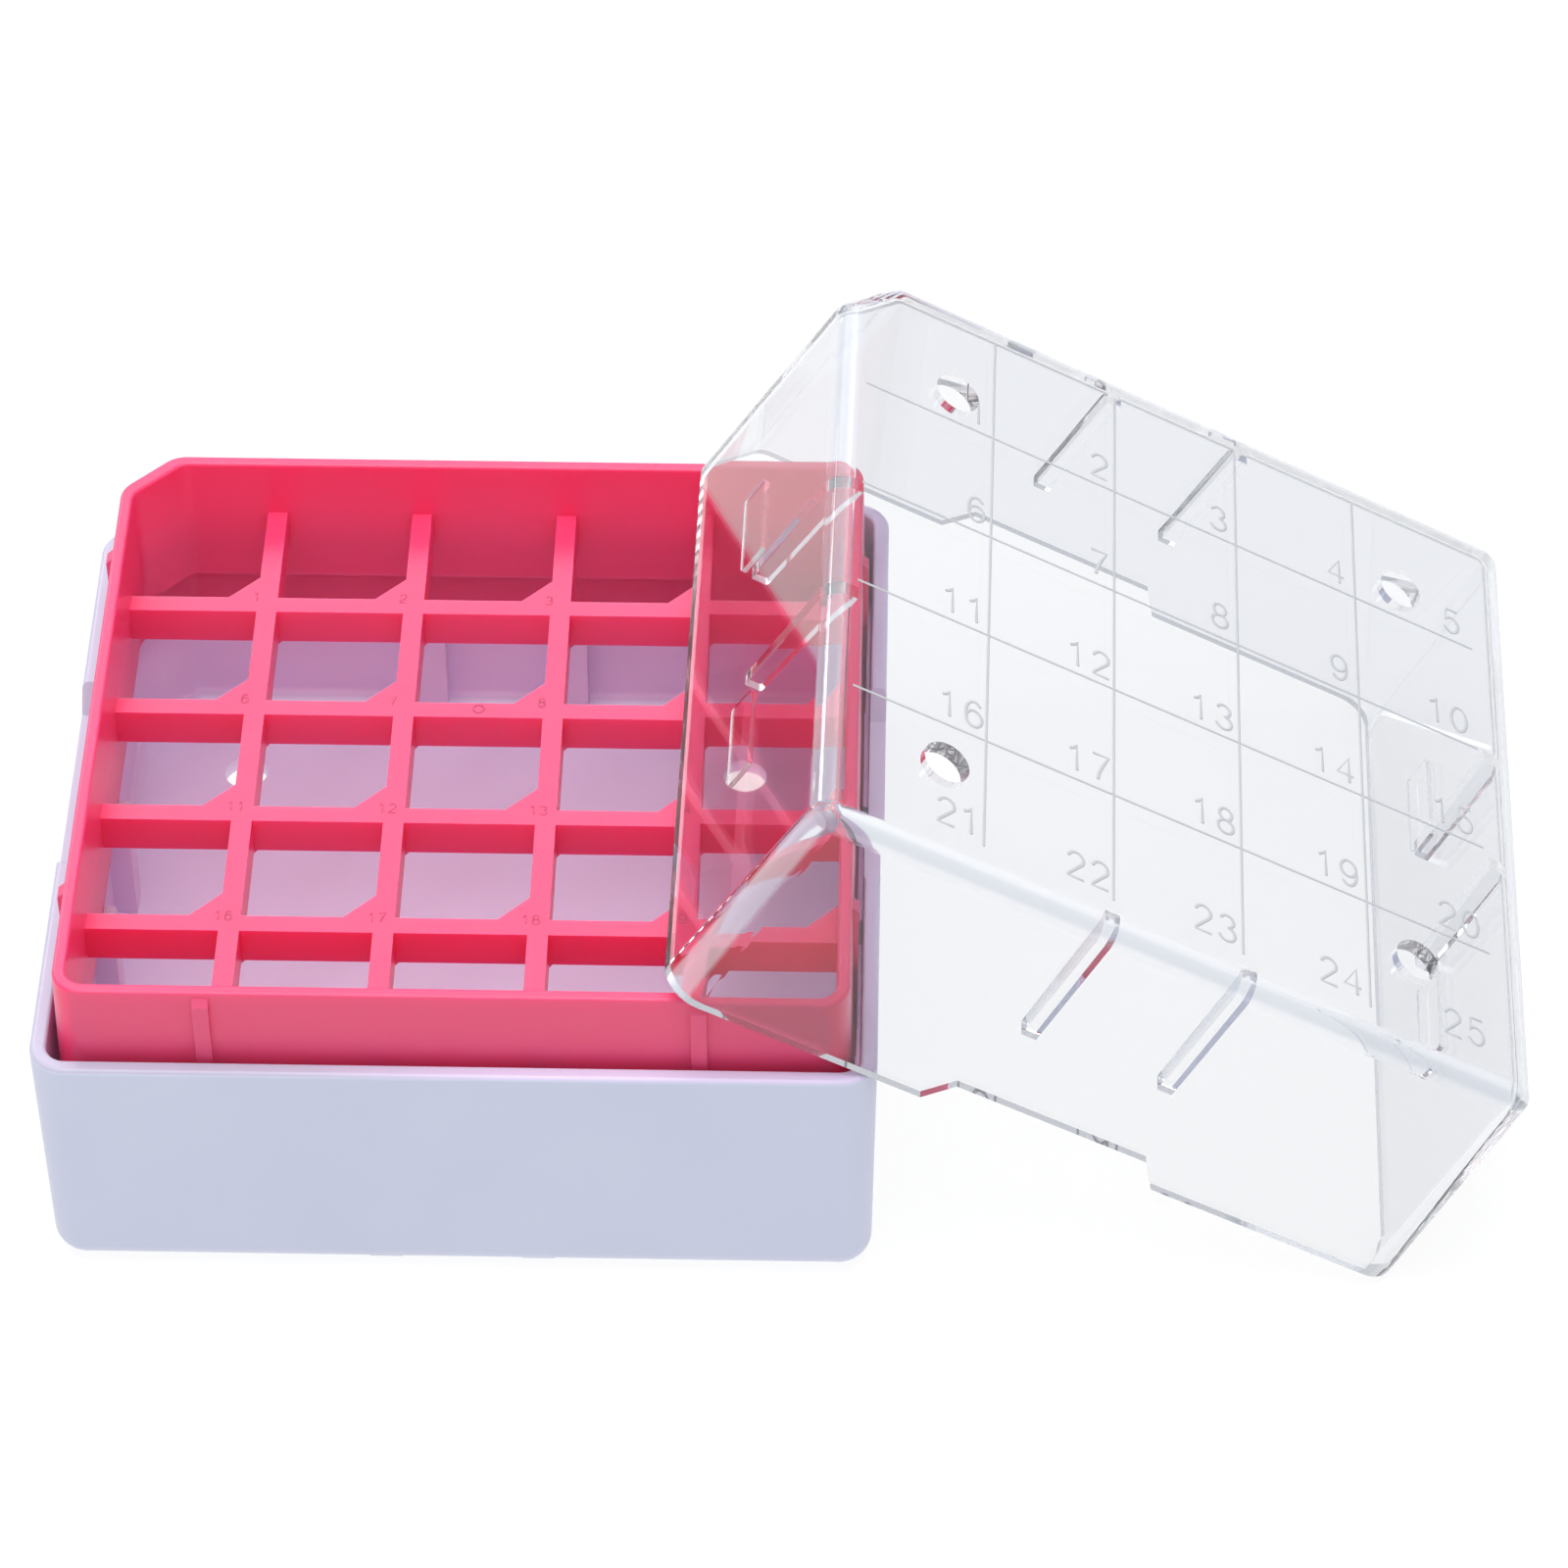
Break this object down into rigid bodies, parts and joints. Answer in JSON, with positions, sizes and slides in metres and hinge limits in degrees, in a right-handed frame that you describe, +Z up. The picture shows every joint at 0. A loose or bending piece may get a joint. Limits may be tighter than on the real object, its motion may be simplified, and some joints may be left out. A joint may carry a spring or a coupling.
{
  "type": "cryogenic vial storage box",
  "caption": "Square storage box with a keyed corner: shallow base, lift-out frame of square vial cells and a vented clear lid lying off it.",
  "frame": {"origin": "middle of the base's underside", "axes": "+Z up, -Y towards the front, the cut-off key corner of the base at -X +Y; the lid lies off the box on the +X side"},
  "size_m": [0.1356, 0.077, 0.0581],
  "materials": {
    "base_white": "moulded opaque plastic, faint lavender white, satin gloss",
    "frame_pink": "moulded opaque pink plastic, satin gloss",
    "lid_clear": "clear colourless polycarbonate, polished"
  },
  "bodies": {
    "base": {"base": "base_white"},
    "divider_frame": {"divider_frame": "frame_pink"},
    "lid": {"lid": "lid_clear"}
  },
  "joints": [
    {"name": "frame_lift", "type": "slide", "parent": "base", "child": "divider_frame", "axis": [0, 0, 1], "range_m": [0, 0.03]},
    {"name": "lid_lift", "type": "slide", "parent": "divider_frame", "child": "lid", "axis": [0, 0, 1], "range_m": [0, 0.06]}
  ]
}
